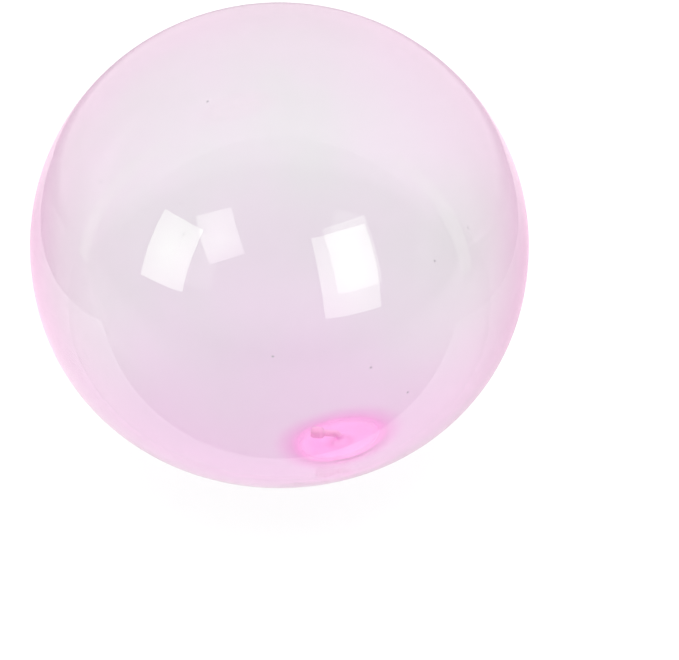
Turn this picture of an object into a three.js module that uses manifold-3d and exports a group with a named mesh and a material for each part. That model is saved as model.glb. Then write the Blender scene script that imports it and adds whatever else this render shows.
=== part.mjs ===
// A bubble ball: a toy balloon of very soft, see-through rubber, blown up until it is about as wide
// as an arm is long. The skin and its filler mouth are moulded in one, so the ball is one piece.
//
// It stands on a table, which presses a small round of the skin flat, and its own weight makes the
// belly a little fuller and the bottom a little lower than a true sphere's. Sealed and full of air,
// the ball is modelled as the solid that its skin encloses. The mouth is beside the flat: a shallow
// funnel with a rolled lip. The thick pad and the self-closing neck behind the mouth are inside the
// ball, and are no part of this outer form.
//
// Millimetres, +Z up. The origin is the middle of the flat that the ball stands on, +X is to the
// right and +Y to the back, seen from the front.

import * as THREE from "three";
import { mergeVertices } from "three/addons/utils/BufferGeometryUtils.js";
import Module from "manifold-3d";

// The blown-up skin
const GIRTH_WIDTH = 400; // across the widest level
const CROWN_RISE = 193; // from the widest level up to the top
const BELLY_DROP = 187; // from the widest level down to where the round would end without the flat
const BELLY_FULLNESS = 2.12; // 2 makes the belly an ellipse, and more makes it fuller

// The flat that the ball stands on
const FLAT_RADIUS = 28; // skin that lies on the table
const CURL_WIDTH = 14; // ring in which the skin curls up from the table into the round

// The filler mouth
const MOUTH_GAP = 1; // between the curl and the mouth's lip
const MOUTH_HEADING = -15; // degrees from +X towards +Y
const FUNNEL_RADIUS = 7.5; // where the funnel meets the skin
const FUNNEL_FLOOR_RADIUS = 4;
const FUNNEL_DEPTH = 3;
const LIP_THICKNESS = 2.4; // of the rolled edge, half of it sunk in the skin

// How finely the curves are cut into flats
const GIRTH_SECTORS = 72;
const RINGS_PER_HALF = 15;
const CURL_STEPS = 4;
const FUNNEL_SECTORS = 24;
const LIP_SIDES = 8;

// Points closer than this are one point
const MERGE_DISTANCE = 0.001;

const girthRadius = GIRTH_WIDTH / 2;
const curlOuterRadius = FLAT_RADIUS + CURL_WIDTH;

// How far below the widest level the belly is, at a distance from the axis.
function bellyDrop(radius) {
  const share = 1 - Math.pow(radius / girthRadius, BELLY_FULLNESS);
  return BELLY_DROP * Math.pow(share, 1 / BELLY_FULLNESS);
}

// How steeply the belly climbs there, in millimetres up for each millimetre out.
function bellySlope(radius) {
  const across = Math.pow(radius / girthRadius, BELLY_FULLNESS - 1) / girthRadius;
  const down = Math.pow(bellyDrop(radius) / BELLY_DROP, BELLY_FULLNESS - 1) / BELLY_DROP;
  return across / down;
}

// The curl is a parabola that leaves the table flat and meets the belly at the belly's own slope.
const curlBend = bellySlope(curlOuterRadius) / (2 * CURL_WIDTH);
const girthHeight = bellyDrop(curlOuterRadius) + curlBend * CURL_WIDTH * CURL_WIDTH;

// The skin's outline, from the middle of the flat round to the top, as points (radius, height).
function skinOutline() {
  const points = [new THREE.Vector2(0, 0), new THREE.Vector2(FLAT_RADIUS, 0)];
  for (let step = 1; step <= CURL_STEPS; step++) {
    const out = (CURL_WIDTH * step) / CURL_STEPS;
    points.push(new THREE.Vector2(FLAT_RADIUS + out, curlBend * out * out));
  }
  const power = 2 / BELLY_FULLNESS;
  const curlTurn = Math.acos(Math.pow(curlOuterRadius / girthRadius, 1 / power));
  for (let ring = 1; ring <= RINGS_PER_HALF; ring++) {
    const turn = curlTurn * (1 - ring / RINGS_PER_HALF);
    const drop = BELLY_DROP * Math.pow(Math.sin(turn), power);
    const radius = girthRadius * Math.pow(Math.cos(turn), power);
    points.push(new THREE.Vector2(radius, girthHeight - drop));
  }
  for (let ring = 1; ring < RINGS_PER_HALF; ring++) {
    const turn = ((Math.PI / 2) * ring) / RINGS_PER_HALF;
    const rise = CROWN_RISE * Math.sin(turn);
    points.push(new THREE.Vector2(girthRadius * Math.cos(turn), girthHeight + rise));
  }
  points.push(new THREE.Vector2(0, girthHeight + CROWN_RISE));
  return points;
}

// A lathe about +Z.
function lathe(points, sectors) {
  return new THREE.LatheGeometry(points, sectors).rotateX(Math.PI / 2);
}

// Moves a shape made at the origin to the mouth, and turns its +Z to face out of the ball there.
function placeAtMouth(geometry) {
  const radius = curlOuterRadius + MOUTH_GAP + LIP_THICKNESS + FUNNEL_RADIUS;
  const heading = THREE.MathUtils.degToRad(MOUTH_HEADING);
  const outward = new THREE.Vector3(Math.cos(heading), Math.sin(heading), 0);
  const centre = outward.clone().multiplyScalar(radius);
  centre.z = girthHeight - bellyDrop(radius);
  const facing = outward.multiplyScalar(bellySlope(radius)).setZ(-1).normalize();
  const turn = new THREE.Quaternion().setFromUnitVectors(new THREE.Vector3(0, 0, 1), facing);
  return geometry.applyQuaternion(turn).translate(centre.x, centre.y, centre.z);
}

// The space inside the funnel, which goes on widening outside the skin so that it cuts cleanly.
function funnelSpace() {
  const widening = (FUNNEL_RADIUS - FUNNEL_FLOOR_RADIUS) / FUNNEL_DEPTH;
  const outside = LIP_THICKNESS;
  const points = [
    new THREE.Vector2(0, -FUNNEL_DEPTH),
    new THREE.Vector2(FUNNEL_FLOOR_RADIUS, -FUNNEL_DEPTH),
    new THREE.Vector2(FUNNEL_RADIUS + widening * outside, outside),
    new THREE.Vector2(0, outside),
  ];
  return placeAtMouth(lathe(points, FUNNEL_SECTORS));
}

// The rolled edge that goes round the funnel.
function lip() {
  const half = LIP_THICKNESS / 2;
  return placeAtMouth(new THREE.TorusGeometry(FUNNEL_RADIUS + half, half, LIP_SIDES, FUNNEL_SECTORS));
}

const wasm = await Module();
wasm.setup();

function solidFrom(geometry) {
  const bare = geometry.clone().deleteAttribute("normal").deleteAttribute("uv");
  const merged = mergeVertices(bare, MERGE_DISTANCE);
  const vertProperties = merged.attributes.position.array;
  const triVerts = new Uint32Array(merged.index.array);
  return new wasm.Manifold(new wasm.Mesh({ numProp: 3, vertProperties, triVerts }));
}

function geometryFrom(solid) {
  const mesh = solid.getMesh();
  const geometry = new THREE.BufferGeometry();
  geometry.setAttribute("position", new THREE.BufferAttribute(mesh.vertProperties, 3));
  geometry.setIndex(new THREE.BufferAttribute(mesh.triVerts, 1));
  geometry.computeVertexNormals();
  return geometry;
}

// Soft, see-through pink rubber with a wet shine
const pinkRubber = new THREE.MeshStandardMaterial({
  color: new THREE.Color(0.96, 0.72, 0.88),
  roughness: 0.08,
  metalness: 0,
  transparent: true,
  opacity: 0.35,
});

const skin = solidFrom(lathe(skinOutline(), GIRTH_SECTORS));
const ball = new THREE.Mesh(
  geometryFrom(skin.add(solidFrom(lip())).subtract(solidFrom(funnelSpace()))),
  pinkRubber,
);
ball.name = "ball";

const model = new THREE.Group();
model.add(ball);

export default model;
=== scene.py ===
# A bubble ball of soft, see-through pink rubber, blown up to 400 mm and standing on a white table.
# Metres, +Z up, the frame of the solid: the ball stands on its flat at the origin, seen from -Y.
import math

import bmesh
import bpy
from mathutils import Matrix, Vector


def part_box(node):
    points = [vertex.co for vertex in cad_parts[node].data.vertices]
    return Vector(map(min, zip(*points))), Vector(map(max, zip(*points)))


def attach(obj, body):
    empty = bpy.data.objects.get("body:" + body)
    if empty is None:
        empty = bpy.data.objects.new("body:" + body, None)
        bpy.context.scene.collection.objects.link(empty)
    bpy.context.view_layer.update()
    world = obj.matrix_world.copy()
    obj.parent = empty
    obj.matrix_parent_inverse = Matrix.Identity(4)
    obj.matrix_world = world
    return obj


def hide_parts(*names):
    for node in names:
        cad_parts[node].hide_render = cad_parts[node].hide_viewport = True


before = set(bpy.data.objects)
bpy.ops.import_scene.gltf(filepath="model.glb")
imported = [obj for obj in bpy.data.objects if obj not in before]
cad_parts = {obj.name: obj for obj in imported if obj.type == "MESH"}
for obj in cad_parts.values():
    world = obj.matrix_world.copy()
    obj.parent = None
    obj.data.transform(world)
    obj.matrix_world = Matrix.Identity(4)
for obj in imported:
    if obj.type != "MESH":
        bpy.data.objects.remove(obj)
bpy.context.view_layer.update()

# The skin's form
# The real skin is a small moulded rubber bag that air has stretched to many times its size. Air makes
# it round, the table presses a small flat under it, and its own weight makes the belly fuller than a
# true sphere and the bottom lower. The form is the solid's own, worked out from its box.
ball_low, ball_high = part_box("ball")
girth_radius = (ball_high.x - ball_low.x) / 2
crown_rise = 0.193
belly_drop = 0.187
belly_fullness = 2.12
crown_fullness = 2
girth_height = ball_high.z - crown_rise
flat_radius = 0.028
curl_width = 0.014
curl_outer = flat_radius + curl_width
next_to_nothing = 1e-9


def drop_at(radius):
    """How far below the widest level the belly is, at a distance from the upright axis."""
    share = 1 - (radius / girth_radius) ** belly_fullness
    return belly_drop * share ** (1 / belly_fullness)


def slope_at(radius):
    """How steeply the belly climbs there."""
    across = (radius / girth_radius) ** (belly_fullness - 1) / girth_radius
    down = (drop_at(radius) / belly_drop) ** (belly_fullness - 1) / belly_drop
    return across / down


curl_bend = slope_at(curl_outer) / (2 * curl_width)


def skin_at(way):
    """The point of the outer skin in a direction from the middle of the girth, and the skin's normal."""
    across = math.hypot(way.x, way.y)
    power, height = belly_fullness, belly_drop
    if way.z >= 0:
        power, height = crown_fullness, crown_rise
    reach = ((across / girth_radius) ** power + (abs(way.z) / height) ** power) ** (-1 / power)
    point = way * reach
    radius = across * reach
    out = Vector((way.x, way.y, 0)) / max(across, next_to_nothing)
    if way.z < 0 and radius < curl_outer:
        climb = max(0, radius - flat_radius)
        point.z = curl_bend * climb**2
        return point, (out * 2 * curl_bend * climb - Vector((0, 0, 1))).normalized()
    steep_out = (radius / girth_radius) ** (power - 1) / girth_radius
    steep_up = (abs(point.z) / height) ** (power - 1) / height
    normal = out * steep_out + Vector((0, 0, math.copysign(steep_up, way.z)))
    point.z += girth_height
    return point, normal.normalized()


# The filler mouth, the pad and the neck
# They are moulded in one with the skin, and too thick to stretch with it. Outside, the mouth is a
# shallow funnel with a rolled lip. Inside, a round pad with a beaded rim stiffens the skin about it,
# and a short soft tube with a rolled end, which the air presses shut, has flopped over to the left.
funnel_radius = 0.0075
funnel_floor = 0.004
funnel_depth = 0.003
floor_flat = 0.0024
floor_rounding = 0.00024
brim_inset = 0.0002
brim_depth = 0.0003
lip_half = 0.0012
lip_steps = 8
mouth_gap = 0.001
mouth_heading = math.radians(-15)
mouth_radius = curl_outer + mouth_gap + 2 * lip_half + funnel_radius
far_film = 0.00005
mouth_film = 0.00012
stretch_reach = 0.16
pad_radius = 0.0405
pad_thickness = 0.0009
pad_softness = 0.0048
pad_squash = 0.87
squash_fade = 2 * pad_radius
feather_thickness = 0.00035
feather_reach = 0.011
bead_height = 0.0003
bead_half = 0.0050
bead_inset = 0.001
boss_height = 0.0040
boss_reach = 0.0085
neck_radius = 0.0029
neck_bore = 0.0009
bore_rounding = 0.0003
neck_length = 0.030
rolled_radius = 0.0050
rolled_length = 0.0125
rolled_steps = 10
neck_rise = 0.0045
neck_bend = 0.0040
neck_lean = math.radians(88)
neck_heading = math.radians(165)

mouth_spot = Vector((math.cos(mouth_heading), math.sin(mouth_heading), 0)) * mouth_radius
mouth_way = (mouth_spot - Vector((0, 0, drop_at(mouth_radius)))).normalized()
pattern_x = Vector((1, 0, 0)).cross(mouth_way).cross(mouth_way).normalized() * -1
pattern_y = pattern_x.cross(mouth_way).normalized()

# The flat pattern's rings of points: fine ones over the pad, and wider ones on round the ball.
skin_length = math.pi * girth_radius
skin_turns = 160
collar_rings = (0.0112, 0.0128)
first_ring = 0.0145
fine_step = 0.0013
fine_rings = 38
fine_end = 0.0625
step_growth = 0.06
widest_step = 0.006
last_gap = 0.009
merge_distance = 1e-7


def film_at(distance):
    """The skin's thickness at a distance from the mouth: the pad, its bead, and the stretched film."""
    film = far_film + mouth_film * math.exp(-distance / stretch_reach)
    edge = 1 / (1 + math.exp((distance - pad_radius) / pad_softness))
    feather = feather_thickness * math.exp(-max(0, distance - pad_radius) / feather_reach)
    bead = bead_height * math.exp(-(((distance - pad_radius + bead_inset) / bead_half) ** 2))
    return film + pad_thickness * edge + feather * (1 - edge) + bead


def arc(centre, radius, start, end, steps):
    """Points round part of a circle, angles in degrees from the outward direction."""
    turns = [math.radians(start + (end - start) * i / steps) for i in range(steps + 1)]
    return [(centre[0] + radius * math.cos(t), centre[1] + radius * math.sin(t)) for t in turns]


def skin_stations():
    """Distances from the mouth at which both faces of the skin have a ring of points."""
    stations = [first_ring + fine_step * i for i in range(fine_rings)]
    while stations[-1] < skin_length - last_gap:
        step = fine_step + (stations[-1] - fine_end) * step_growth
        stations.append(stations[-1] + min(widest_step, step))
    return stations


# Both outlines are (distance from the mouth's axis, height into the ball from the outer face).
# Outside: the funnel's floor and wall, over the lip, and along the skin to the far pole.
outer_line = [(0, funnel_depth), (floor_flat, funnel_depth), (funnel_floor, funnel_depth - floor_rounding)]
outer_line += [(funnel_radius - brim_inset, brim_depth)]
outer_line += arc((funnel_radius + lip_half, 0), lip_half, 180, 360, lip_steps)
outer_line += [(s, 0) for s in (*collar_rings, *skin_stations(), skin_length)]

# Inside: up the bore, over the rolled end, down the tube and the boss, and along the skin.
neck_top = boss_height + neck_length
rolled_half = (rolled_radius - neck_bore) / 2
rolled_foot = neck_top - rolled_length
rolled_shoulder = ((1, 0.0045), (1, 0.0030), (0.96, 0.0016), (0.82, 0.0006))
bore_floor = 0.8 * neck_bore
bore_foot = boss_height + 0.001
bore_top = neck_top - rolled_half
tube_top = rolled_foot - 0.0006
tube_foot = boss_height + 0.0035
tube_steps = 16
boss_slope = ((0.0031, 1.2), (0.0044, 0.92), (0.0064, 0.78), (0.0090, 0.5))
collar_heights = (0.0016, 0.0013)
bore_step = (bore_top - bore_foot) / tube_steps
tube_step = (tube_top - tube_foot) / tube_steps
inner_line = [(0, boss_height), (bore_floor, boss_height + bore_rounding)]
inner_line += [(neck_bore, bore_foot + bore_step * i) for i in range(tube_steps)]
inner_line += arc((neck_bore + rolled_half, bore_top), rolled_half, 180, 0, rolled_steps)
inner_line += [(rolled_radius * share, rolled_foot + rise) for share, rise in rolled_shoulder]
inner_line += [(neck_radius, tube_top - tube_step * i) for i in range(tube_steps + 1)]
inner_line += [(radius, boss_height * share) for radius, share in boss_slope]
inner_line += zip(collar_rings, collar_heights)
inner_line += [(s, film_at(s)) for s in (*skin_stations(), skin_length)]


def spun(line):
    """A bmesh of an outline that is turned all round the mouth's axis."""
    bm = bmesh.new()
    points = [bm.verts.new((distance, 0, height)) for distance, height in line]
    edges = [bm.edges.new(pair) for pair in zip(points, points[1:])]
    bmesh.ops.spin(
        bm, geom=points + edges, cent=(0, 0, 0), axis=(0, 0, 1), angle=math.tau,
        steps=skin_turns, use_merge=True,
    )
    return bm


def flop(point):
    """Bends what stands above the boss over to the left, as the soft neck has fallen."""
    above = point.z - neck_rise
    if above <= 0:
        return point
    point = Matrix.Rotation(-neck_heading, 3, "Z") @ point
    turn = min(above / neck_bend, neck_lean)
    beyond = above - turn * neck_bend
    hinge = neck_bend - point.x
    x = neck_bend - hinge * math.cos(turn) + beyond * math.sin(turn)
    z = neck_rise + hinge * math.sin(turn) + beyond * math.cos(turn)
    return Matrix.Rotation(neck_heading, 3, "Z") @ Vector((x, point.y, z))


def squash(point):
    """Makes the pad a little oval, narrower from front to back. Far from it nothing changes."""
    distance = math.hypot(point.x, point.y)
    share = min(max((distance - pad_radius) / squash_fade, 0), 1)
    return Vector((point.x, point.y * (pad_squash + (1 - pad_squash) * share), point.z))


def wrap(point):
    """Lays a point of the flat pattern on the blown-up skin."""
    distance = math.hypot(point.x, point.y)
    lean = distance / girth_radius
    side = (pattern_x * point.x + pattern_y * point.y) / max(distance, next_to_nothing)
    skin, normal = skin_at(mouth_way * math.cos(lean) + side * math.sin(lean))
    return skin - normal * point.z


outer_face = spun(outer_line)
inner_face = spun(inner_line)
for vert in inner_face.verts:
    if math.hypot(vert.co.x, vert.co.y) < boss_reach:
        vert.co = flop(vert.co)
    else:
        vert.co = squash(vert.co)
for face in (outer_face, inner_face):
    for vert in face.verts:
        vert.co = wrap(vert.co)
    bmesh.ops.remove_doubles(face, verts=face.verts, dist=merge_distance)
    bmesh.ops.recalc_face_normals(face, faces=face.faces)
bmesh.ops.reverse_faces(inner_face, faces=inner_face.faces)

skin_mesh = bpy.data.meshes.new("ball_skin")
inner_mesh = bpy.data.meshes.new("inner")
inner_face.to_mesh(inner_mesh)
outer_face.from_mesh(inner_mesh)
for facet in outer_face.faces:
    facet.smooth = True
outer_face.to_mesh(skin_mesh)
bpy.data.meshes.remove(inner_mesh)
ball_skin = bpy.data.objects.new("ball_skin", skin_mesh)
bpy.context.scene.collection.objects.link(ball_skin)

# The film is so clear that it casts no shadow on the table.
ball_skin.visible_shadow = False

# The rubber
# One clear pink rubber throughout. Stretched to a film it hardly tints, a little more towards the
# mouth, where it is less stretched, and where it is thick, at the pad and the neck, it is hot pink.
# Its plasticiser gives it a wet shine, and a soft pink bloom where the film is seen edge on. The
# film's grey is painted shade: it dims the table seen through the ball, which casts no shadow.
clear_film_and_shade = (0.846, 0.849, 0.849, 1)
thick_film = (0.975, 0.80, 0.955, 1)
# The edge colour is partly painted light and shade at the limb.
edge_film_and_shade = (0.97, 0.44, 0.78, 1)
pad_pink = (1.0, 0.53, 0.87, 1)
rim_pink = (1.0, 0.42, 0.82, 1)
neck_pink = (1.0, 0.66, 0.86, 1)
dye_pink = (1.0, 0.35, 0.84, 1)
dye_density = 25
bloom_pink = (0.86, 0.36, 0.67, 1)
bloom_weight = 0.60
bloom_roughness = 0.2
rubber_ior = 1.48
pad_haze = 0.50
rim_strength = 0.45
speck_grey = (0.66, 0.62, 0.66, 1)
speck_scale = 24
glow_middle = (0.005, -0.012, 0)
edge_blend = 0.5
edge_power = 2
edge_at_top = 0.43
edge_at_foot = 0.40
edge_at_girth = 1.2
wave_depth = 0.00008

# Where each tint starts and ends, in metres from the mouth or up from the table
glow_span = (0.06, 0.25)
upper_span = (0.17, 0.31)
lower_span = (0.04, 0.17)
pad_span = (pad_radius - 0.006, pad_radius + 0.020)
haze_span = (pad_radius - 0.014, pad_radius + 0.001)
rim_at = pad_radius - 0.004
rim_half = 0.007
neck_span = (0.0055, 0.0070)
above_pad_span = (0.0022, 0.0036)
neck_reach_span = (0.036, 0.041)
speck_span = (0.016, 0.036)

# The scale and detail of each random pattern, how much of its range counts, and what that gives
patch_pattern = (7, 3)
patch_range = (0.3, 0.7)
patch_strength = 0.30
smear_pattern = (38, 2)
smear_range = (0.3, 0.75)
smear_roughness = (0.012, 0.03)
wave_pattern = (11, 2)

# A Mix node's sockets for its two colours and for the result
first_colour = 6
second_colour = 7
mixed_colour = 2


def feed(tree, value, socket):
    """Gives a socket its value, which is a plain one or what another node puts out."""
    if isinstance(value, bpy.types.NodeSocket):
        tree.links.new(value, socket)
    else:
        socket.default_value = value


def own_place(tree):
    """A point's place in its object's own coordinates."""
    return tree.nodes.new("ShaderNodeTexCoord").outputs["Object"]


def sum_of(tree, operation, first, second=0.0):
    """A sum on two numbers."""
    node = tree.nodes.new("ShaderNodeMath")
    node.operation = operation
    feed(tree, first, node.inputs[0])
    feed(tree, second, node.inputs[1])
    return node.outputs["Value"]


def way_of(tree, operation, first, second=(0, 0, 0)):
    """A sum on two places or directions."""
    node = tree.nodes.new("ShaderNodeVectorMath")
    node.operation = operation
    feed(tree, first, node.inputs[0])
    feed(tree, second, node.inputs[1])
    return node.outputs["Value" if operation in ("DOT_PRODUCT", "LENGTH", "DISTANCE") else "Vector"]


def ranged(tree, value, span, at_start=0.0, at_end=1.0):
    """A value's span mapped smoothly to another one, and held at its ends."""
    node = tree.nodes.new("ShaderNodeMapRange")
    node.interpolation_type = "SMOOTHSTEP"
    numbers = (value, *span, at_start, at_end)
    for name, number in zip(("Value", "From Min", "From Max", "To Min", "To Max"), numbers):
        feed(tree, number, node.inputs[name])
    return node.outputs["Result"]


def mixed(tree, share, first, second):
    """Two colours mixed by a share."""
    node = tree.nodes.new("ShaderNodeMix")
    node.data_type = "RGBA"
    feed(tree, share, node.inputs["Factor"])
    feed(tree, first, node.inputs[first_colour])
    feed(tree, second, node.inputs[second_colour])
    return node.outputs[mixed_colour]


def cloudy(tree, scale, detail):
    """A soft random pattern, in patches of about one metre divided by the scale."""
    node = tree.nodes.new("ShaderNodeTexNoise")
    node.inputs["Scale"].default_value = scale
    node.inputs["Detail"].default_value = detail
    tree.links.new(own_place(tree), node.inputs["Vector"])
    return node.outputs["Fac"]


rubber = bpy.data.materials.new("clear_pink_rubber")
rubber.use_nodes = True
skin_tree = rubber.node_tree
shader = skin_tree.nodes["Principled BSDF"]
shader.inputs["IOR"].default_value = rubber_ior
shader.inputs["Sheen Weight"].default_value = bloom_weight
shader.inputs["Sheen Roughness"].default_value = bloom_roughness
shader.inputs["Sheen Tint"].default_value = bloom_pink

# How far a point is from the mouth, measured in the pad's oval, and how high it is
from_mouth = way_of(skin_tree, "SUBTRACT", own_place(skin_tree), skin_at(mouth_way)[0])
in_oval = way_of(skin_tree, "MULTIPLY", from_mouth, (1, 1 / pad_squash, 1))
distance = way_of(skin_tree, "LENGTH", in_oval)
split = skin_tree.nodes.new("ShaderNodeSeparateXYZ")
skin_tree.links.new(own_place(skin_tree), split.inputs["Vector"])
height = split.outputs["Z"]

# The film is pinker under the ball and in soft patches.
from_glow = way_of(skin_tree, "DISTANCE", own_place(skin_tree), glow_middle)
film_colour = mixed(skin_tree, ranged(skin_tree, from_glow, glow_span, 1, 0), clear_film_and_shade, thick_film)
patches = ranged(skin_tree, cloudy(skin_tree, *patch_pattern), patch_range, 0, patch_strength)
film_colour = mixed(skin_tree, patches, film_colour, thick_film)

# Edge on, the look goes through more of it, and it is pinkest at the girth. That edge pink
# and its darker limb are partly painted light and shade.
edge_on = skin_tree.nodes.new("ShaderNodeLayerWeight")
edge_on.inputs["Blend"].default_value = edge_blend
edge_tint_and_shade = sum_of(skin_tree, "POWER", edge_on.outputs["Facing"], edge_power)
above_girth = ranged(skin_tree, height, upper_span, 1, edge_at_top)
below_girth = ranged(skin_tree, height, lower_span, edge_at_foot, edge_at_girth)
edge_tint_and_shade = sum_of(skin_tree, "MULTIPLY", edge_tint_and_shade, above_girth)
edge_tint_and_shade = sum_of(skin_tree, "MULTIPLY", edge_tint_and_shade, below_girth)
film_colour = mixed(skin_tree, edge_tint_and_shade, film_colour, edge_film_and_shade)

# The pad is hot pink, and deepest along its beaded rim.
in_pad = ranged(skin_tree, distance, pad_span, 1, 0)
film_colour = mixed(skin_tree, in_pad, film_colour, pad_pink)
from_rim = sum_of(skin_tree, "ABSOLUTE", sum_of(skin_tree, "SUBTRACT", distance, rim_at))
in_rim = ranged(skin_tree, from_rim, (0, rim_half), rim_strength, 0)
film_colour = mixed(skin_tree, in_rim, film_colour, rim_pink)

# The neck is what stands well inside the skin, above the pad and near the mouth.
inward = way_of(skin_tree, "DOT_PRODUCT", from_mouth, -mouth_way)
above_pad = ranged(skin_tree, height, above_pad_span, 0, 1)
near_mouth = ranged(skin_tree, distance, neck_reach_span, 1, 0)
in_neck = sum_of(skin_tree, "MULTIPLY", ranged(skin_tree, inward, neck_span, 0, 1), above_pad)
in_neck = sum_of(skin_tree, "MULTIPLY", in_neck, near_mouth)
film_colour = mixed(skin_tree, in_neck, film_colour, neck_pink)

# A few specks of dust stick to it.
speck = skin_tree.nodes.new("ShaderNodeTexVoronoi")
speck.inputs["Scale"].default_value = speck_scale
skin_tree.links.new(own_place(skin_tree), speck.inputs["Vector"])
in_speck = ranged(skin_tree, speck.outputs["Distance"], speck_span, 1, 0)
film_colour = mixed(skin_tree, in_speck, film_colour, speck_grey)
skin_tree.links.new(film_colour, shader.inputs["Base Color"])

# Faint smears and waves break the shine, and the thick pad is a little milky.
smears = ranged(skin_tree, cloudy(skin_tree, *smear_pattern), smear_range, *smear_roughness)
skin_tree.links.new(smears, shader.inputs["Roughness"])
clearness = ranged(skin_tree, distance, haze_span, 1 - pad_haze, 1)
skin_tree.links.new(clearness, shader.inputs["Transmission Weight"])
waves = skin_tree.nodes.new("ShaderNodeBump")
waves.inputs["Strength"].default_value = 1
waves.inputs["Distance"].default_value = wave_depth
skin_tree.links.new(cloudy(skin_tree, *wave_pattern), waves.inputs["Height"])
skin_tree.links.new(waves.outputs["Normal"], shader.inputs["Normal"])

dye = skin_tree.nodes.new("ShaderNodeVolumeAbsorption")
dye.inputs["Color"].default_value = dye_pink
dye.inputs["Density"].default_value = dye_density
skin_tree.links.new(dye.outputs["Volume"], skin_tree.nodes["Material Output"].inputs["Volume"])
skin_mesh.materials.append(rubber)

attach(ball_skin, "root")
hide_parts("ball")

# The table
# A white table, evenly bright to the eye. In the ball's shine its light is painted, a little dimmer
# away from the lamps and brighter far behind, and past its edges the shine shows the room, made of
# cards that only reflections see.
table_size = 40
table_gap = 0.0003
table_grey = (0.22, 0.22, 0.22, 1)
table_roughness = 0.9
table_glow = 0.785
from_lamps = (0.55, 1, 0)
from_lamps_span = (0.30, -0.14)
shine_glow = (0.52, 0.80)
behind_span = (0.30, 0.70)
behind_glow = 0.22
table_front = 0.19
table_side = 0.60
table_back = 0.80

bpy.ops.mesh.primitive_plane_add(size=table_size, location=(0, 0, -table_gap))
table = bpy.context.object
table.name = "table"
white = bpy.data.materials.new("white_table")
white.use_nodes = True
table_tree = white.node_tree
top = table_tree.nodes["Principled BSDF"]
top.inputs["Base Color"].default_value = table_grey
top.inputs["Emission Color"].default_value = (1, 1, 1, 1)
top.inputs["Roughness"].default_value = table_roughness
top.inputs["Specular IOR Level"].default_value = 0
away = way_of(table_tree, "DOT_PRODUCT", own_place(table_tree), from_lamps)
lit = ranged(table_tree, away, from_lamps_span, *shine_glow)
on_table = table_tree.nodes.new("ShaderNodeSeparateXYZ")
table_tree.links.new(own_place(table_tree), on_table.inputs["Vector"])
behind = ranged(table_tree, on_table.outputs["Y"], behind_span, 0, behind_glow)
in_shine = table_tree.nodes.new("ShaderNodeMix")
in_shine.inputs["A"].default_value = table_glow
ray = table_tree.nodes.new("ShaderNodeLightPath")
table_tree.links.new(ray.outputs["Glossy Depth"], in_shine.inputs["Factor"])
table_tree.links.new(sum_of(table_tree, "ADD", lit, behind), in_shine.inputs["B"])
table_tree.links.new(in_shine.outputs["Result"], top.inputs["Emission Strength"])
table.data.materials.append(white)

room_reach = 20.0
card_height = 0.0006
front_near = (0.66, 0.62, 0.66, 1)
side_near = (0.78, 0.74, 0.78, 1)
front_fade = 0.66
side_fade = 1.6
back_fade = 1.4
bright_way = (-0.08, 0.75, 0.66)
bright_span = (-0.45, 0.65)
dim_wall = (0.06, 0.05, 0.06, 1)
bright_ceiling = (1.10, 1.08, 1.10, 1)


def glowing(name, colour):
    """A material that gives off light evenly."""
    material = bpy.data.materials.new(name)
    material.use_nodes = True
    tree = material.node_tree
    tree.nodes.remove(tree.nodes["Principled BSDF"])
    glow = tree.nodes.new("ShaderNodeEmission")
    glow.inputs["Color"].default_value = colour
    tree.links.new(glow.outputs["Emission"], tree.nodes["Material Output"].inputs["Surface"])
    return material


def shine_card(name, place_it, material):
    """A flat card that only reflections see. It starts 1 m square on the table."""
    bpy.ops.mesh.primitive_plane_add(size=1)
    card = bpy.context.object
    card.name = name
    card.data.transform(place_it)
    card.data.materials.append(material)
    card.visible_camera = False
    card.visible_diffuse = False
    card.visible_shadow = False
    return card


def room_tone(tree, way):
    """The room's tone in a direction: bright overhead and behind, dim in front."""
    bright = ranged(tree, way_of(tree, "DOT_PRODUCT", way, bright_way), bright_span)
    return mixed(tree, bright, dim_wall, bright_ceiling)


def room_card(name, low, high, near_colour, out, edge, fade_length):
    """A part of the room past the table's edge, at the table's level, clear where no shine meets it.
    Going out from the edge, its colour changes to the tone that the room has in that direction."""
    middle = Vector(((low[0] + high[0]) / 2, (low[1] + high[1]) / 2, card_height))
    size = Matrix.Diagonal((high[0] - low[0], high[1] - low[1], 1, 1))
    floor = glowing(name, near_colour)
    tree = floor.node_tree
    here = own_place(tree)
    past = ranged(tree, way_of(tree, "DOT_PRODUCT", here, out), (edge, edge + fade_length))
    far_tone = room_tone(tree, way_of(tree, "NORMALIZE", here))
    tree.links.new(mixed(tree, past, near_colour, far_tone), tree.nodes["Emission"].inputs["Color"])
    bounce = tree.nodes.new("ShaderNodeLightPath")
    clear = tree.nodes.new("ShaderNodeBsdfTransparent")
    either = tree.nodes.new("ShaderNodeMixShader")
    tree.links.new(bounce.outputs["Glossy Depth"], either.inputs["Fac"])
    tree.links.new(clear.outputs["BSDF"], either.inputs[1])
    tree.links.new(tree.nodes["Emission"].outputs["Emission"], either.inputs[2])
    tree.links.new(either.outputs["Shader"], tree.nodes["Material Output"].inputs["Surface"])
    shine_card(name, Matrix.Translation(middle) @ size, floor)


room_card(
    "room_front", (-room_reach, -room_reach), (room_reach, -table_front),
    front_near, (0, -1, 0), table_front, front_fade,
)
room_card(
    "room_left", (-room_reach, -table_front), (-table_side, table_back),
    side_near, (-1, 0, 0), table_side, side_fade,
)
room_card(
    "room_right", (table_side, -table_front), (room_reach, table_back),
    side_near, (1, 0, 0), table_side, side_fade,
)
room_card(
    "room_back", (-room_reach, table_back), (room_reach, room_reach),
    side_near, (0, 1, 0), table_back, back_fade,
)

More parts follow.
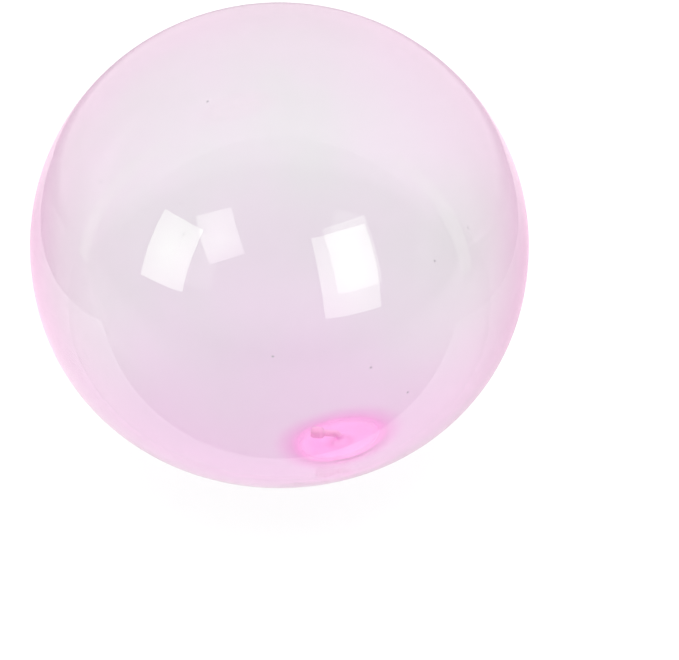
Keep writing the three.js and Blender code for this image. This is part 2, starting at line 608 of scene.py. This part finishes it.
# The light
# Two upright softboxes in front make the two windows on the ball, and two more their doubles on its
# far wall. Tall soft strips stand at the sides. An even light from above whitens the table, and the
# room is brighter overhead and behind.
softbox_white = (0.95, 1.18, 0.93, 1)
cloth_middle = (0.5, 0.5, 0)
cloth_corner = 0.7
overhead_energy = 2.6
overhead_spread = math.radians(60)


def softbox(name, azimuth, elevation, away, width, height, middle_glow, corner_glow):
    """A softbox that faces the middle of the ball. Azimuth 0 is in front, and positive is to the right."""
    turned = math.radians(azimuth)
    raised = math.radians(elevation)
    level = math.cos(raised)
    way = Vector((math.sin(turned) * level, -math.cos(turned) * level, math.sin(raised)))
    cloth = glowing(name, softbox_white)
    tree = cloth.node_tree
    weave = tree.nodes.new("ShaderNodeTexCoord")
    fade = tree.nodes.new("ShaderNodeMapRange")
    fade.inputs["From Max"].default_value = cloth_corner
    fade.inputs["To Min"].default_value = middle_glow
    fade.inputs["To Max"].default_value = corner_glow
    tree.links.new(way_of(tree, "DISTANCE", weave.outputs["UV"], cloth_middle), fade.inputs["Value"])
    tree.links.new(fade.outputs["Result"], tree.nodes["Emission"].inputs["Strength"])
    turn = way.to_track_quat("Z", "Y").to_matrix().to_4x4()
    spot = Matrix.Translation(Vector((0, 0, girth_height)) + way * away)
    return shine_card(name, spot @ turn @ Matrix.Diagonal((width, height, 1, 1)), cloth)


# What the near wall mirrors goes straight to the eye, so these are unseen through the film.
mirrored = [
    softbox("softbox_left", -51, 20.0, 1.75, 0.63, 0.88, middle_glow=6.0, corner_glow=3.4),
    softbox("softbox_right", 30, 17.5, 1.40, 0.61, 0.91, middle_glow=4.8, corner_glow=2.7),
    softbox("strip_left", -93, 22.0, 1.6, 0.20, 1.6, middle_glow=1.25, corner_glow=0.9),
    softbox("strip_right", 86, 18.0, 1.6, 0.20, 1.6, middle_glow=1.10, corner_glow=0.8),
]
for card in mirrored:
    card.visible_transmission = False

# What the far wall mirrors comes out through the near one, so these are unseen straight off it.
doubled = [
    softbox("softbox_left_through", -37, 21.0, 1.75, 0.50, 0.70, middle_glow=0.9, corner_glow=0.9),
    softbox("softbox_right_through", 34, 24.0, 1.40, 0.48, 0.72, middle_glow=3.8, corner_glow=2.4),
]
for card in doubled:
    card.visible_glossy = False

overhead = bpy.data.lights.new("overhead", "SUN")
overhead.energy = overhead_energy
overhead.angle = overhead_spread
overhead_box = bpy.data.objects.new("overhead", overhead)
overhead_box.visible_glossy = False
overhead_box.visible_transmission = False
bpy.context.scene.collection.objects.link(overhead_box)

world = bpy.data.worlds.new("room")
bpy.context.scene.world = world
world.use_nodes = True
sky = world.node_tree
heading = sky.nodes.new("ShaderNodeTexCoord")
sky.links.new(room_tone(sky, heading.outputs["Generated"]), sky.nodes["Background"].inputs["Color"])

# The camera
# It looks down on the ball at the photograph's angle. The lens and shift put the ball where it stands
# in the photograph, which is 679 by 660 pixels.
photo_width = 679
photo_height = 660
ball_in_photo = (279.4, 244.8)
lens_in_pixels = 2735
camera_distance = 2.2
camera_elevation = math.radians(30)
sensor_width = 36
film_bounces = 32
shine_bounces = 16

camera_data = bpy.data.cameras.new("camera")
camera_data.sensor_width = sensor_width
camera_data.lens = lens_in_pixels / photo_width * sensor_width
camera_data.shift_x = (photo_width / 2 - ball_in_photo[0]) / photo_width
camera_data.shift_y = (ball_in_photo[1] - photo_height / 2) / photo_width
camera = bpy.data.objects.new("camera", camera_data)
back = Vector((0, -math.cos(camera_elevation), math.sin(camera_elevation)))
camera.location = Vector((0, 0, girth_height)) + back * camera_distance
camera.rotation_euler = back.to_track_quat("Z", "Y").to_euler()
bpy.context.scene.collection.objects.link(camera)
bpy.context.scene.camera = camera

scene = bpy.context.scene
scene.view_settings.view_transform = "Standard"
scene.cycles.use_denoising = True
scene.cycles.max_bounces = film_bounces
scene.cycles.transmission_bounces = film_bounces
scene.cycles.glossy_bounces = shine_bounces
